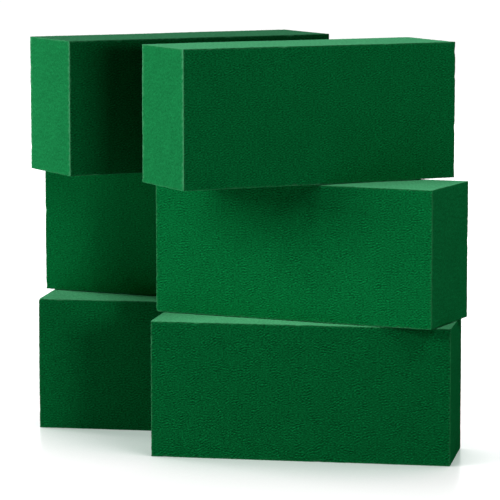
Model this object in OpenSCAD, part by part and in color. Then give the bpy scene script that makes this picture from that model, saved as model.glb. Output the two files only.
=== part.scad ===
// Floral foam bricks: six loose blocks of wet floristry foam, standing on
// their long edges in two stacks of three. All sizes are in millimetres, +Z is
// up, and the broad faces of the front stack look towards -Y. The origin is at
// the middle of the whole set, on the surface that it stands on.

/* [Brick] */
// Length of a brick
brick_length = 230; // [200:1:250]
// Thickness of a brick, front to back as it stands
brick_depth = 75; // [60:1:90]
// Height of a brick as it stands
brick_height = 105; // [90:1:120]
// Bevel that cutting and packing wear onto every edge
edge_wear = 0.8; // [0.4:0.1:2]
// Hairline left between a brick and the one under it by their uneven sawn faces
rest_gap = 0.2; // [0.1:0.05:0.5]

/* [Front stack] */
// Turns of the bottom, middle and top bricks about the vertical, in degrees
front_turns = [-10, -25, 26]; // [-40:0.5:40]
// Middles of the three bricks, measured sideways from the bottom one
front_across = [0, 3, -6]; // [-20:1:20]
// Middles of the three bricks, measured backwards from the bottom one
front_back = [0, 17, 7]; // [-26:1:26]

/* [Rear stack] */
// Turns of the bottom, middle and top bricks about the vertical, in degrees
rear_turns = [-9.5, -24, 28]; // [-40:0.5:40]
// Middles of the three bricks, measured sideways from the bottom one
rear_across = [0, 3, -5]; // [-20:1:20]
// Middles of the three bricks, measured backwards from the bottom one
rear_back = [0, 25, -3]; // [-26:1:26]
// How far to the left of the front stack the rear one stands
rear_stack_left = 94; // [60:1:140]
// Clearance kept between the two stacks, square to the front one's bricks
stack_gap = 1; // [1:0.5:40]

/* [Hidden] */

foam_green = [0.05, 0.4, 0.2];
levels = [0:2];
bottom = 0;
middle = 1;
top = 2;
level_step = brick_height + rest_gap;

// How far the outline of a brick, seen from above, reaches from its middle in
// a direction. The bevelled corner reaches a little less than a sharp one.
function reach(turn, direction) =
    let (along = abs(cos(direction - turn)), across = abs(sin(direction - turn)))
    along * brick_length / 2 + across * brick_depth / 2 - edge_wear * min(along, across);

// How far back the rear stack has to stand for the two bricks of one level to
// keep the gap, measured along the normal of the front brick's broad face.
function step_back(level) =
    let (
        normal = front_turns[level] + 90,
        spacing = reach(front_turns[level], normal) + reach(rear_turns[level], normal) + stack_gap,
        sideways = rear_across[level] - front_across[level] - rear_stack_left
    )
    (spacing - sideways * cos(normal)) / sin(normal) - rear_back[level] + front_back[level];

rear_stack_back = max([for (level = levels) step_back(level)]);

// Middles of the bricks' undersides, measured from the front bottom brick
front_places = [
    for (level = levels) [front_across[level], front_back[level], level * level_step]
];
rear_places = [
    for (level = levels)
        [rear_across[level] - rear_stack_left, rear_back[level] + rear_stack_back, level * level_step]
];

// The middle of the set's outline, which goes to the origin
places = concat(front_places, rear_places);
turns = concat(front_turns, rear_turns);
bricks = [0:len(places) - 1];
set_middle = [
    (max([for (i = bricks) places[i].x + reach(turns[i], 0)])
        + min([for (i = bricks) places[i].x - reach(turns[i], 0)])) / 2,
    (max([for (i = bricks) places[i].y + reach(turns[i], 90)])
        + min([for (i = bricks) places[i].y - reach(turns[i], 90)])) / 2,
    0
];

// A straight bar with bevelled corners, centred on the origin
module bevelled_bar(width, depth, length) {
    x = width / 2;
    y = depth / 2;
    e = edge_wear;
    linear_extrude(height = length, center = true)
        polygon([
            [x - e, -y], [x, e - y], [x, y - e], [x - e, y],
            [e - x, y], [-x, y - e], [-x, e - y], [e - x, -y]
        ]);
}

// One block of foam, standing on its long edge, bevelled along every edge
module foam_brick() {
    translate([0, 0, brick_height / 2])
        intersection() {
            bevelled_bar(brick_length, brick_depth, brick_height);
            rotate([90, 0, 0]) bevelled_bar(brick_length, brick_height, brick_depth);
            rotate([0, 90, 0]) bevelled_bar(brick_height, brick_depth, brick_length);
        }
}

module front_brick(level) {
    translate(front_places[level] - set_middle) rotate(front_turns[level]) foam_brick();
}

module rear_brick(level) {
    translate(rear_places[level] - set_middle) rotate(rear_turns[level]) foam_brick();
}

module front_bottom_brick() { color(foam_green) front_brick(bottom); }

module front_middle_brick() { color(foam_green) front_brick(middle); }

module front_top_brick() { color(foam_green) front_brick(top); }

module rear_bottom_brick() { color(foam_green) rear_brick(bottom); }

module rear_middle_brick() { color(foam_green) rear_brick(middle); }

module rear_top_brick() { color(foam_green) rear_brick(top); }

front_bottom_brick();
front_middle_brick();
front_top_brick();
rear_bottom_brick();
rear_middle_brick();
rear_top_brick();
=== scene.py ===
"""Six loose bricks of dark green floral foam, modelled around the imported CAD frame.

Each brick is a closed mesh grown on its own CAD box: a fine lattice over the six sides, rounded and
nicked along its edges, then sunk by wrinkles on the broad sides and by grain on the ends and the sawn
top and bottom. Millimetres are used inside the mesh code, because the foam's detail is that small, and
metres everywhere else.
"""
import math

import bpy
import numpy as np
from mathutils import Matrix, Vector


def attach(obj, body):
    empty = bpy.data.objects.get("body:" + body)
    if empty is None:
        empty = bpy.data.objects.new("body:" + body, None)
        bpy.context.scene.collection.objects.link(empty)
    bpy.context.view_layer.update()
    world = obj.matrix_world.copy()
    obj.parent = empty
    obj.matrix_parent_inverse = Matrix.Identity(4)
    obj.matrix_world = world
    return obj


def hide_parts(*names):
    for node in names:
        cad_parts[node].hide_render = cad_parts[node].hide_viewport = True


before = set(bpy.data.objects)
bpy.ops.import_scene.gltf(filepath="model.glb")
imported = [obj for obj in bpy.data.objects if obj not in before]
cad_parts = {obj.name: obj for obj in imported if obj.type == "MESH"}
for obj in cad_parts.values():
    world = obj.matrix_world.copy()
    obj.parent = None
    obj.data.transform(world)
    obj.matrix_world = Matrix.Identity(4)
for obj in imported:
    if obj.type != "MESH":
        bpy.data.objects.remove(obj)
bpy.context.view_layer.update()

MM = 0.001

# Lattice over a brick, in mm: spacing along its length, depth and height, and the closer lines by an edge
STEP = (1.3, 2.4, 0.6)
EDGE_LINES = (0.0, 0.3, 0.7, 1.3, 2.2)

# Worn edges, in mm: their radius, how much it changes in long and in short waves, and its limits
EDGE_RADIUS = 0.42
RADIUS_SWAY = 0.12
SWAY_LENGTH = 6.0
RADIUS_FLUTTER = 0.1
FLUTTER_LENGTH = 2.4
RADIUS_LIMITS = (0.2, 5.0)

# Nicks in the edges: how many, their widths in mm, their depths as shares of the width, and how many times
# their depth they add to the edge's radius
NICKS_PER_BRICK = 46
NICK_WIDTHS = (0.8, 2.8)
NICK_DEPTHS = (0.15, 0.42)
NICK_ROUNDING = 1.5

# The pale rim, partly rubbed foam and partly a painted highlight, in mm from the edge: where it starts to
# fade and where it ends. It is wider on the ends, along their upright edges. Its width changes by the share
# FRAYING, in waves of FRAY_LENGTH mm.
RIM_START = 0.1
RIM_WIDTH = 1.3
UPRIGHT_RIM_WIDTH = 2.9
FRAYING = 0.4
FRAY_LENGTH = 4.0

# How visible the rim is along the level edges of the ends, the bottom edges and the right ends' edges. The
# bottom and right edges face away from the lamps, so their rim is dimmer: painted shade.
END_LEVEL_RIM = 0.5
SHADED_BOTTOM_RIM = 0.35
SHADED_RIGHT_RIM = 0.4

# The right ends face away from the lamps, so they have only this share of the left ends' paler colour and
# rim: painted shade, with less painted sheen
SHADED_RIGHT_END_SHARE = 0.4

# Wrinkles of the broad sides: their depth and wavelength in mm, how many degrees their ridges may lean from
# level, and how abruptly a ridge turns into a hollow
WRINKLE_DEPTH = 0.36
WRINKLE_LENGTH = 1.75
WRINKLE_FAN = 46
WRINKLE_SHARPNESS = 1.1

# Patches where the wrinkles are shallower: their wavelength in mm, how abruptly they begin, and half of the
# share of the wrinkles' depth that is lost in the middle of one
PATCH_LENGTH = 15
PATCH_SHARPNESS = 1.6
PATCHINESS = 0.38

# Depth and wavelength, in mm, of the grain on the ends and the sawn sides, of the crumbling of the rim, and
# of the slow swell of a whole brick
GRAIN_DEPTH = 0.11
GRAIN_LENGTH = 3.2
CRUMB_DEPTH = 0.12
CRUMB_LENGTH = 1.8
SWELL_DEPTH = 0.2
SWELL_LENGTH = 95.0

# Per brick: lightness of the broad sides, lightness of the sawn top and bottom, and depth of the wrinkles,
# each as a share of the usual. The lightnesses were set together with the lamps: on the broad sides they
# are partly the foam's own tone and partly painted light and shade, on the top and bottom mostly painted
# light and shade, which lightens the tops in the shade of the brick above. The ends are equally light on
# all.
BRICK_TONES_WITH_PAINTED_LIGHT = {
    "front_bottom_brick": (0.93, 1.2, 1.35),
    "front_middle_brick": (1.2, 1.35, 1.15),
    "front_top_brick": (1.2, 1.04, 0.9),
    "rear_bottom_brick": (1.08, 1.1, 0.9),
    "rear_middle_brick": (1.5, 1.05, 0.6),
    "rear_top_brick": (0.67, 0.8, 0.9),
}
END_TONE = 1.05

# Each brick has a seed of its own. They count up from this one, in the order of the bricks' names.
FIRST_SEED = 11

# Greens of the sides, each from its darkest to its lightest speckle, and of the rim
BROAD_GREENS = ((0.0011, 0.083, 0.0195, 1), (0.0019, 0.117, 0.0285, 1))
# Ends: paler and less green than the broad sides, partly as cut foam and partly as painted sheen
END_GREENS_WITH_SHEEN = ((0.0040, 0.0885, 0.0245, 1), (0.0056, 0.112, 0.0330, 1))
# Sawn top and bottom: paler partly as cut foam, partly as painted sheen and painted light from above
SAWN_GREENS_WITH_SHEEN_AND_LIGHT = ((0.039, 0.21, 0.091, 1), (0.054, 0.262, 0.120, 1))
# Rim: paler rubbed foam, and partly a painted highlight
RIM_GREEN = (0.05, 0.24, 0.105, 1)

# Noise in the foam, in waves per metre: the pores, finer pores that only the bump shows, and faint clouds.
# The stretch draws the pores out sideways. Most of a noise's values lie in NOISE_RANGE.
PORE_SCALE = 1700.0
FINE_PORE_SCALE = 1800.0
CLOUD_SCALE = 38.0
PORE_STRETCH = (0.38, 0.38, 1.0)
NOISE_RANGE = (0.3, 0.7)

# Lightness of the clouds, and of the relief from its crests to its hollows, as shares of the side's own.
# The relief's is painted: a painted highlight on the crests and painted shade in the hollows.
CLOUD_TONES = (0.96, 1.04)
PAINTED_RELIEF_LIGHT = (1.45, 0.55)

# How much the pores lighten and darken the foam, on the other sides and on the broad sides: partly the
# foam's own speckle, partly painted shade in the pits and painted highlight on the pores that the bump
# raises
PAINTED_PORE_CONTRASTS = (0.09, 0.32)

# How visible the rim is, on the other sides and on the ends. It is strongest on the ends, partly as a
# painted highlight.
RIM_STRENGTHS = (0.45, 1.0)

# Surface of the foam: its gloss, its roughness, and the strength and height in metres of its pores' bump.
# FINE_SHARE of the bump comes from the finer pores.
FOAM_SPECULAR = 0.0
FOAM_ROUGHNESS = (0.86, 1.0)
BUMP_STRENGTH = 0.6
BUMP_HEIGHT = 0.0008
FINE_SHARE = 0.4

# Lamps: azimuth and elevation in degrees, width in metres, and power in watts. Azimuth 0 is in front of the
# set, and 90 on its right. A lamp lights the floor and the stack that its name starts with. The lamp at the
# back lights everything.
LAMPS = {
    "front_key_low": (-75, 18, 0.5, 19),
    "front_key_high": (-60, 34, 0.5, 11),
    "front_fill": (42, 50, 0.5, 12.5),
    "rear_side": (-118, 8, 0.5, 44),
    "rear_key_high": (-60, 55, 0.5, 8),
    "rear_fill": (27, 8, 0.3, 11),
    "back": (180, 35, 0.9, 12),
}

# The point that the lamps look at, in the frame, and how far away from it they stand, in metres
LAMP_TARGET = Vector((0, 0, 0.16))
LAMP_DISTANCE = 1.6

# Strength of the white backdrop where the camera or the glossy floor sees it. It casts no light of its own.
BACKDROP = 1.05

# The white floor: half its width in metres, its grey where lamps light it, and its slightly mottled gloss
FLOOR_HALF = 4.0
FLOOR_GREY = (0.3, 0.3, 0.3, 1)
FLOOR_SPECULAR = 0.3
FLOOR_ROUGHNESS = (0.2, 0.26)
MOTTLE_SCALE = 3.0

# Glow of the floor, near the middle and far away, and the distances in metres between which it changes
GLOW_NEAR = 0.7
GLOW_FAR = 1.0
GLOW_REACH = (0.35, 1.5)

# Painted shade round the bricks: how far from them the floor's glow darkens, in metres, the share of its
# glow that is left against them, and the green tint there, a painted reflection
SHADE_REACH = 0.15
SHADE_GLOW = 0.42
PAINTED_REFLECTION_TINT = (0.77, 1.0, 0.89, 1)
WHITE = (1, 1, 1, 1)

# How open to the sky the floor is, as a share: against the bricks, and where the tint has faded
SHADE_OPENNESS = 0.5
TINT_OPENNESS = 0.85

# Camera: its place in metres, how many degrees it looks down, and its lens in mm
CAMERA_PLACE = (0.0036, -2.3529, 0.4426)
CAMERA_DIP = 7.14
CAMERA_LENS = 216


# ---------------------------------------------------------------- mesh code

def axis_lines(size, step):
    """Lattice lines along one axis of a brick, from -size/2 to size/2, closer together by both edges."""
    half = size / 2
    edge = np.array(EDGE_LINES)
    inner = half - edge[-1]
    count = max(2, int(round(2 * inner / step)))
    middle = np.linspace(-inner, inner, count + 1)[1:-1]
    return np.concatenate([edge - half, middle, (half - edge)[::-1]])


def box_sides():
    """The index of each side of a lattice, and whether its quads face outwards in the lattice's order."""
    for axis in range(3):
        for end in (0, -1):
            outwards = (end == -1) != (axis == 1)
            yield tuple(end if a == axis else slice(None) for a in range(3)), outwards


def lattice_box(size):
    """Vertices and quads of a closed box of that size, centred on the origin, with shared edges."""
    lines = [axis_lines(s, step) for s, step in zip(size, STEP)]
    shape = [len(line) for line in lines]
    on_skin = np.zeros(shape, bool)
    for side, _ in box_sides():
        on_skin[side] = True
    index = np.full(shape, -1)
    index[on_skin] = np.arange(on_skin.sum())
    i, j, k = np.nonzero(on_skin)
    points = np.stack([lines[0][i], lines[1][j], lines[2][k]], axis=1)
    quads = []
    for side, outwards in box_sides():
        grid = index[side]
        a, b, c, d = grid[:-1, :-1], grid[1:, :-1], grid[1:, 1:], grid[:-1, 1:]
        loop = np.stack([a, b, c, d], axis=-1).reshape(-1, 4)
        quads.append(loop if outwards else loop[:, ::-1])
    return points, np.concatenate(quads)


def waves(rng, across, wavelength, spread=0.4, fan=90, count=72):
    """A smooth random field over flat points: many small waves of nearly one length, with unit variance.

    The waves run within fan degrees of the second direction, so a narrow fan lays their ridges along the
    first.
    """
    angle = np.radians(90 + rng.uniform(-fan, fan, count))
    number = math.tau / (wavelength * rng.uniform(1 - spread, 1 + spread, count))
    phase = rng.uniform(0, math.tau, count)
    kx = number * np.cos(angle)
    ky = number * np.sin(angle)
    total = np.zeros(len(across))
    for x, y, start in zip(kx, ky, phase):
        total += np.cos(across[:, 0] * x + across[:, 1] * y + start)
    return total * math.sqrt(2 / count)


def solid_waves(rng, points, wavelength, spread=0.4, count=48):
    """The same in space, for what has to run on round an edge."""
    direction = rng.normal(size=(count, 3))
    direction /= np.linalg.norm(direction, axis=1, keepdims=True)
    number = math.tau / (wavelength * rng.uniform(1 - spread, 1 + spread, count))
    phase = rng.uniform(0, math.tau, count)
    total = np.zeros(len(points))
    for way, k, start in zip(direction, number, phase):
        total += np.cos(points @ way * k + start)
    return total * math.sqrt(2 / count)


def depth_share(field):
    """A random field as shares of a depth, from 0 on its crests to 1 in its hollows."""
    return 0.5 + 0.5 * np.tanh(field)


def smooth_step(value, low, high):
    """A share that rises smoothly from 0 at low to 1 at high."""
    t = np.clip((value - low) / (high - low), 0, 1)
    return t * t * (3 - 2 * t)


def nick_depths(rng, points, size):
    """How deep the edges are nicked at each point, in mm, by small nicks scattered along the 12 edges."""
    half = np.array(size) / 2
    deepest = np.zeros(len(points))
    lengths = np.repeat(np.array(size), 4)
    for edge in rng.choice(12, NICKS_PER_BRICK, p=lengths / lengths.sum()):
        axis, corner = divmod(edge, 4)
        first, second = [a for a in range(3) if a != axis]
        place = np.empty(3)
        place[first] = half[first] * (1 if corner & 1 else -1)
        place[second] = half[second] * (1 if corner & 2 else -1)
        place[axis] = rng.uniform(-half[axis], half[axis])
        width = rng.uniform(*NICK_WIDTHS)
        depth = width * rng.uniform(*NICK_DEPTHS)
        near = np.linalg.norm(points - place, axis=1)
        deepest = np.maximum(deepest, depth * np.exp(-((near / width) ** 2)))
    return deepest


def edge_radii(rng, points, nicks):
    """Radius in mm that the edges are rounded to, at each point."""
    sway = RADIUS_SWAY * np.tanh(solid_waves(rng, points, SWAY_LENGTH))
    flutter = RADIUS_FLUTTER * np.tanh(solid_waves(rng, points, FLUTTER_LENGTH))
    return np.clip(EDGE_RADIUS + sway + flutter + nicks * NICK_ROUNDING, *RADIUS_LIMITS)


def rim_share(rng, points, half, nicks, on_end, by_right):
    """How much of the pale rim, partly rubbed foam and partly a painted highlight, shows at each point,
    from 0 to 1.
    """
    from_side = half - np.abs(points)
    from_edge = np.sort(from_side, axis=1)[:, 1]
    from_upright = from_side[:, :2].max(axis=1)
    frayed = 1 + FRAYING * np.tanh(solid_waves(rng, points, FRAY_LENGTH))
    rim = 1 - smooth_step(from_edge, RIM_START, (RIM_WIDTH + nicks) * frayed)
    upright_rim = 1 - smooth_step(from_upright, RIM_START, UPRIGHT_RIM_WIDTH * frayed)
    rim_wear_and_highlight = np.maximum(rim * (1 - (1 - END_LEVEL_RIM) * on_end), upright_rim * on_end)
    by_bottom = points[:, 2] < RIM_WIDTH - half[2]
    # Painted shade: the rim is dimmer along the bottom and the right edges
    return rim_wear_and_highlight * np.where(by_bottom, SHADED_BOTTOM_RIM, 1) * np.where(by_right, SHADED_RIGHT_RIM, 1)


def relief_depths(rng, points, share, wrinkling):
    """Depth in mm of the wrinkles on the broad sides, and of the grain on the others."""
    end_plane, broad_plane, top_plane = points[:, [1, 2]], points[:, [0, 2]], points[:, [0, 1]]
    patches = waves(rng, broad_plane, PATCH_LENGTH, spread=0.5, count=24)
    height = wrinkling * (1 - PATCHINESS + PATCHINESS * np.tanh(PATCH_SHARPNESS * patches))
    wrinkles = waves(rng, broad_plane, WRINKLE_LENGTH, spread=0.36, fan=WRINKLE_FAN, count=150)
    broad = WRINKLE_DEPTH * (0.5 + 0.5 * height * np.tanh(WRINKLE_SHARPNESS * wrinkles))
    end = GRAIN_DEPTH * depth_share(waves(rng, end_plane, GRAIN_LENGTH))
    top = GRAIN_DEPTH * depth_share(waves(rng, top_plane, GRAIN_LENGTH))
    return share[:, 0] * end + share[:, 1] * broad + share[:, 2] * top


def foam_shape(size, seed, broad_tone_with_painted_light, sawn_tone_with_painted_light, wrinkling):
    """Points and quads of one brick in mm, and its looks: the values that the foam's material reads."""
    rng = np.random.default_rng(seed)
    points, quads = lattice_box(size)
    half = np.array(size) / 2
    nicks = nick_depths(rng, points, size)
    radius = edge_radii(rng, points, nicks)[:, None]
    core = np.clip(points, -(half - radius), half - radius)
    out = points - core
    normal = out / np.linalg.norm(out, axis=1, keepdims=True)
    rounded = core + normal * radius
    # The share of each point that belongs to the ends, the broad sides, and the sawn top and bottom
    share = normal ** 2
    by_right = points[:, 0] > half[0] - RIM_WIDTH
    rim_wear_and_highlight = rim_share(rng, points, half, nicks, share[:, 0], by_right)
    relief = relief_depths(rng, points, share, wrinkling)
    swell = SWELL_DEPTH * depth_share(solid_waves(rng, points, SWELL_LENGTH))
    crumb = CRUMB_DEPTH * rim_wear_and_highlight * depth_share(solid_waves(rng, points, CRUMB_LENGTH))
    shaped = rounded - normal * (relief + crumb + swell)[:, None]
    looks = {
        "rim_wear_and_highlight": rim_wear_and_highlight,
        "sunk": relief / WRINKLE_DEPTH,
        # Painted shade: the right ends get only a share of the ends' paler colour and rim
        "end": share[:, 0] * np.where(by_right, SHADED_RIGHT_END_SHARE, 1),
        "narrow": share[:, 2],
        "broad": share[:, 1],
        # Painted light and shade: each brick's tones were set together with the lamps
        "tone_with_painted_light": share @ np.array([END_TONE, broad_tone_with_painted_light, sawn_tone_with_painted_light]),
    }
    return shaped, quads, looks


def measure(node):
    """Size of a brick along its own axes, and its place in the frame, both read from its CAD node."""
    corners = np.array([v.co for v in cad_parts[node].data.vertices], float)
    plan = corners[:, :2] - corners[:, :2].mean(axis=0)
    # Corners that stand above each other are one in plan. They are rounded to a tenth of a micrometre.
    outline = np.unique(plan.round(7), axis=0)
    values, axes = np.linalg.eigh(outline.T @ outline)
    long_axis = axes[:, np.argmax(values)]
    long_axis = long_axis * np.sign(long_axis[0])
    turn = math.atan2(long_axis[1], long_axis[0])
    low, high = corners.min(axis=0), corners.max(axis=0)
    along = corners[:, :2] @ long_axis
    across = corners[:, :2] @ np.array([-long_axis[1], long_axis[0]])
    size = (np.ptp(along), np.ptp(across), high[2] - low[2])
    place = Matrix.Translation((low + high) / 2) @ Matrix.Rotation(turn, 4, "Z")
    return size, place


def foam_brick(node, seed, material):
    """One brick of foam in the place of its CAD node, riding on the node's body."""
    size, place = measure(node)
    points, quads, looks = foam_shape([s / MM for s in size], seed, *BRICK_TONES_WITH_PAINTED_LIGHT[node])
    mesh = bpy.data.meshes.new("foam_" + node)
    mesh.vertices.add(len(points))
    mesh.vertices.foreach_set("co", (points * MM).ravel())
    mesh.loops.add(quads.size)
    mesh.loops.foreach_set("vertex_index", quads.ravel())
    mesh.polygons.add(len(quads))
    mesh.polygons.foreach_set("loop_start", np.arange(0, quads.size, 4))
    mesh.update(calc_edges=True)
    mesh.polygons.foreach_set("use_smooth", np.ones(len(quads), bool))
    for name, values in looks.items():
        mesh.attributes.new(name, "FLOAT", "POINT").data.foreach_set("value", values)
    mesh.materials.append(material)
    brick = bpy.data.objects.new("foam_" + node, mesh)
    bpy.context.scene.collection.objects.link(brick)
    brick.matrix_world = place
    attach(brick, node)
    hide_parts(node)
    return brick


# ---------------------------------------------------------------- materials

def new_material(name):
    """A material with its node tree and shader, and a function that adds a node with its inputs set."""
    material = bpy.data.materials.new(name)
    material.use_nodes = True
    tree = material.node_tree
    shader = tree.nodes["Principled BSDF"]

    def add(kind, inputs=None, **settings):
        node = tree.nodes.new(kind)
        for key, value in settings.items():
            setattr(node, key, value)
        for key, value in (inputs or {}).items():
            if isinstance(value, bpy.types.NodeSocket):
                tree.links.new(value, node.inputs[key])
            else:
                node.inputs[key].default_value = value
        return node

    return material, tree, shader, add


def noise(add, place, scale, detail, roughness=0.5):
    """A noise from 0 to 1."""
    inputs = {"Vector": place, "Scale": scale, "Detail": detail, "Roughness": roughness}
    return add("ShaderNodeTexNoise", inputs).outputs["Fac"]


def ranged(add, value, from_range, to_range):
    """A value moved from one range into another, and held inside it."""
    inputs = {"Value": value, "From Min": from_range[0], "From Max": from_range[1],
              "To Min": to_range[0], "To Max": to_range[1]}
    return add("ShaderNodeMapRange", inputs).outputs["Result"]


def times(add, a, b):
    """The product of two values."""
    return add("ShaderNodeMath", {0: a, 1: b}, operation="MULTIPLY").outputs["Value"]


def blend(add, share, a, b):
    """A colour between a, where the share is 0, and b, where it is 1."""
    mix = add("ShaderNodeMix", {"Factor": share, "A": a, "B": b}, data_type="RGBA")
    return next(o for o in mix.outputs if o.type == "RGBA" and o.enabled)


def foam_material():
    """Foam with a green for each side, painted sheen, painted shade and highlight in relief and pores, and
    a pale rim, partly painted highlight.
    """
    material, tree, shader, add = new_material("floral_foam")
    place = add("ShaderNodeTexCoord").outputs["Object"]
    flat = add("ShaderNodeMapping", {"Vector": place, "Scale": PORE_STRETCH}).outputs["Vector"]
    pores = noise(add, flat, PORE_SCALE, detail=1.0)
    clouds = noise(add, place, CLOUD_SCALE, detail=3.0, roughness=0.55)
    rim_wear_and_highlight, sunk, end, narrow, broad, tone_with_painted_light = (
        add("ShaderNodeAttribute", attribute_name=name).outputs["Fac"]
        for name in ("rim_wear_and_highlight", "sunk", "end", "narrow", "broad", "tone_with_painted_light"))

    speckle = ranged(add, pores, NOISE_RANGE, (0.0, 1.0))
    # The greens of the ends and of the sawn top and bottom hold painted sheen, the top's painted light as
    # well
    broad_side, end_side, narrow_side = (
        blend(add, speckle, *greens) for greens in (BROAD_GREENS, END_GREENS_WITH_SHEEN, SAWN_GREENS_WITH_SHEEN_AND_LIGHT))
    sides = blend(add, narrow, blend(add, end, broad_side, end_side), narrow_side)
    cloud = ranged(add, clouds, NOISE_RANGE, CLOUD_TONES)
    # Painted highlight on the relief's crests and painted shade in its hollows
    painted_relief_light_and_shade = ranged(add, sunk, (0.0, 1.0), PAINTED_RELIEF_LIGHT)
    contrast = ranged(add, broad, (0.0, 1.0), PAINTED_PORE_CONTRASTS)
    signed = ranged(add, pores, NOISE_RANGE, (-1.0, 1.0))
    # Partly painted: darker in the pits and lighter on the pores that the bump raises
    pore_shade_and_highlight = add("ShaderNodeMath", {0: signed, 1: contrast, 2: 1.0}, operation="MULTIPLY_ADD").outputs["Value"]
    # Each brick's tone holds painted light and shade besides the foam's own tone
    shade = times(add, times(add, cloud, times(add, painted_relief_light_and_shade, pore_shade_and_highlight)), tone_with_painted_light)
    toned = add("ShaderNodeVectorMath", {0: sides, "Scale": shade}, operation="SCALE").outputs["Vector"]
    # The rim: partly rubbed foam, partly a painted highlight, strongest on the ends
    rim = times(add, rim_wear_and_highlight, ranged(add, end, (0.0, 1.0), RIM_STRENGTHS))
    tree.links.new(blend(add, rim, toned, RIM_GREEN), shader.inputs["Base Color"])

    tree.links.new(ranged(add, pores, (0.0, 1.0), FOAM_ROUGHNESS), shader.inputs["Roughness"])
    fine_pores = noise(add, flat, FINE_PORE_SCALE, detail=1.0)
    height = add("ShaderNodeMix", {"Factor": FINE_SHARE, "A": pores, "B": fine_pores}).outputs["Result"]
    bump = add("ShaderNodeBump", {"Height": height, "Strength": BUMP_STRENGTH, "Distance": BUMP_HEIGHT})
    tree.links.new(bump.outputs["Normal"], shader.inputs["Normal"])
    shader.inputs["Specular IOR Level"].default_value = FOAM_SPECULAR
    return material


def floor_material():
    """A white floor that glows for the camera only, less near the bricks and least against them: painted
    shade, tinted green as a painted reflection.
    """
    material, tree, shader, add = new_material("studio_floor")
    place = add("ShaderNodeTexCoord").outputs["Object"]
    mottle = noise(add, place, MOTTLE_SCALE, detail=2.0)
    tree.links.new(ranged(add, mottle, (0.0, 1.0), FLOOR_ROUGHNESS), shader.inputs["Roughness"])
    shader.inputs["Base Color"].default_value = FLOOR_GREY
    shader.inputs["Specular IOR Level"].default_value = FLOOR_SPECULAR

    away = add("ShaderNodeVectorMath", {0: place}, operation="LENGTH").outputs["Value"]
    glow = ranged(add, away, GLOW_REACH, (GLOW_NEAR, GLOW_FAR))
    seen = add("ShaderNodeLightPath").outputs["Is Camera Ray"]
    open_sky = add("ShaderNodeAmbientOcclusion", {"Distance": SHADE_REACH}, samples=16).outputs["AO"]
    # Painted shade: the glow dims against the bricks, and its green tint there is a painted reflection
    lit = ranged(add, open_sky, (SHADE_OPENNESS, 1.0), (SHADE_GLOW, 1.0))
    clear = ranged(add, open_sky, (SHADE_OPENNESS, TINT_OPENNESS), (0.0, 1.0))
    tree.links.new(blend(add, clear, PAINTED_REFLECTION_TINT, WHITE), shader.inputs["Emission Color"])
    tree.links.new(times(add, times(add, glow, lit), seen), shader.inputs["Emission Strength"])
    return material


# ---------------------------------------------------------------- studio

def studio_floor():
    """The floor, a flat square that the bricks stand on."""
    corners = [(x * FLOOR_HALF, y * FLOOR_HALF, 0) for x, y in ((-1, -1), (1, -1), (1, 1), (-1, 1))]
    mesh = bpy.data.meshes.new("studio_floor")
    mesh.from_pydata(corners, [], [(0, 1, 2, 3)])
    mesh.materials.append(floor_material())
    floor = bpy.data.objects.new("studio_floor", mesh)
    bpy.context.scene.collection.objects.link(floor)
    return floor


def lit_group(name, pieces):
    """What a stack's own lamps light: its bricks and the floor. Every brick still casts their shadows."""
    group = bpy.data.collections.new(name)
    for piece in pieces:
        group.objects.link(piece)
    return group


def soft_box(name, azimuth, elevation, width, power, lit):
    """A square area light that looks at the middle of the set. It lights everything if lit is None."""
    light = bpy.data.lights.new(name, "AREA")
    light.shape = "SQUARE"
    light.size = width
    light.energy = power
    lamp = bpy.data.objects.new(name, light)
    lamp.light_linking.receiver_collection = lit
    turn, rise = math.radians(azimuth), math.radians(elevation)
    way = Vector((math.cos(rise) * math.sin(turn), -math.cos(rise) * math.cos(turn), math.sin(rise)))
    aim = Matrix.Rotation(turn, 4, "Z") @ Matrix.Rotation(math.pi / 2 - rise, 4, "X")
    lamp.matrix_world = Matrix.Translation(LAMP_TARGET + LAMP_DISTANCE * way) @ aim
    bpy.context.scene.collection.objects.link(lamp)


def backdrop():
    """A white world that the camera and the glossy floor see, and that casts no light of its own."""
    world = bpy.data.worlds.new("studio")
    world.use_nodes = True
    tree = world.node_tree
    background = tree.nodes["Background"]
    background.inputs["Color"].default_value = WHITE
    path = tree.nodes.new("ShaderNodeLightPath")
    seen = tree.nodes.new("ShaderNodeMath")
    seen.operation = "MAXIMUM"
    tree.links.new(path.outputs["Is Camera Ray"], seen.inputs[0])
    tree.links.new(path.outputs["Is Glossy Ray"], seen.inputs[1])
    strength = tree.nodes.new("ShaderNodeMath")
    strength.operation = "MULTIPLY"
    strength.inputs[1].default_value = BACKDROP
    tree.links.new(seen.outputs["Value"], strength.inputs[0])
    tree.links.new(strength.outputs["Value"], background.inputs["Strength"])
    bpy.context.scene.world = world


def studio(bricks):
    """The floor, the lamps and the white surroundings."""
    floor = studio_floor()
    lit = {}
    for stack in ("front", "rear"):
        own = [brick for node, brick in bricks.items() if node.startswith(stack)]
        lit[stack] = lit_group(stack + "_stack", [floor] + own)
    for name, setting in LAMPS.items():
        soft_box(name, *setting, lit.get(name.split("_")[0]))
    backdrop()
    bpy.context.scene.view_settings.view_transform = "Standard"


def camera():
    """The photograph's view, fitted to the corners of all six bricks."""
    data = bpy.data.cameras.new("camera")
    data.lens = CAMERA_LENS
    eye = bpy.data.objects.new("camera", data)
    eye.location = CAMERA_PLACE
    eye.rotation_euler = (math.radians(90 - CAMERA_DIP), 0, 0)
    bpy.context.scene.collection.objects.link(eye)
    bpy.context.scene.camera = eye


foam = foam_material()
bricks = {}
for seed, node in enumerate(sorted(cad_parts), start=FIRST_SEED):
    bricks[node] = foam_brick(node, seed, foam)
studio(bricks)
camera()
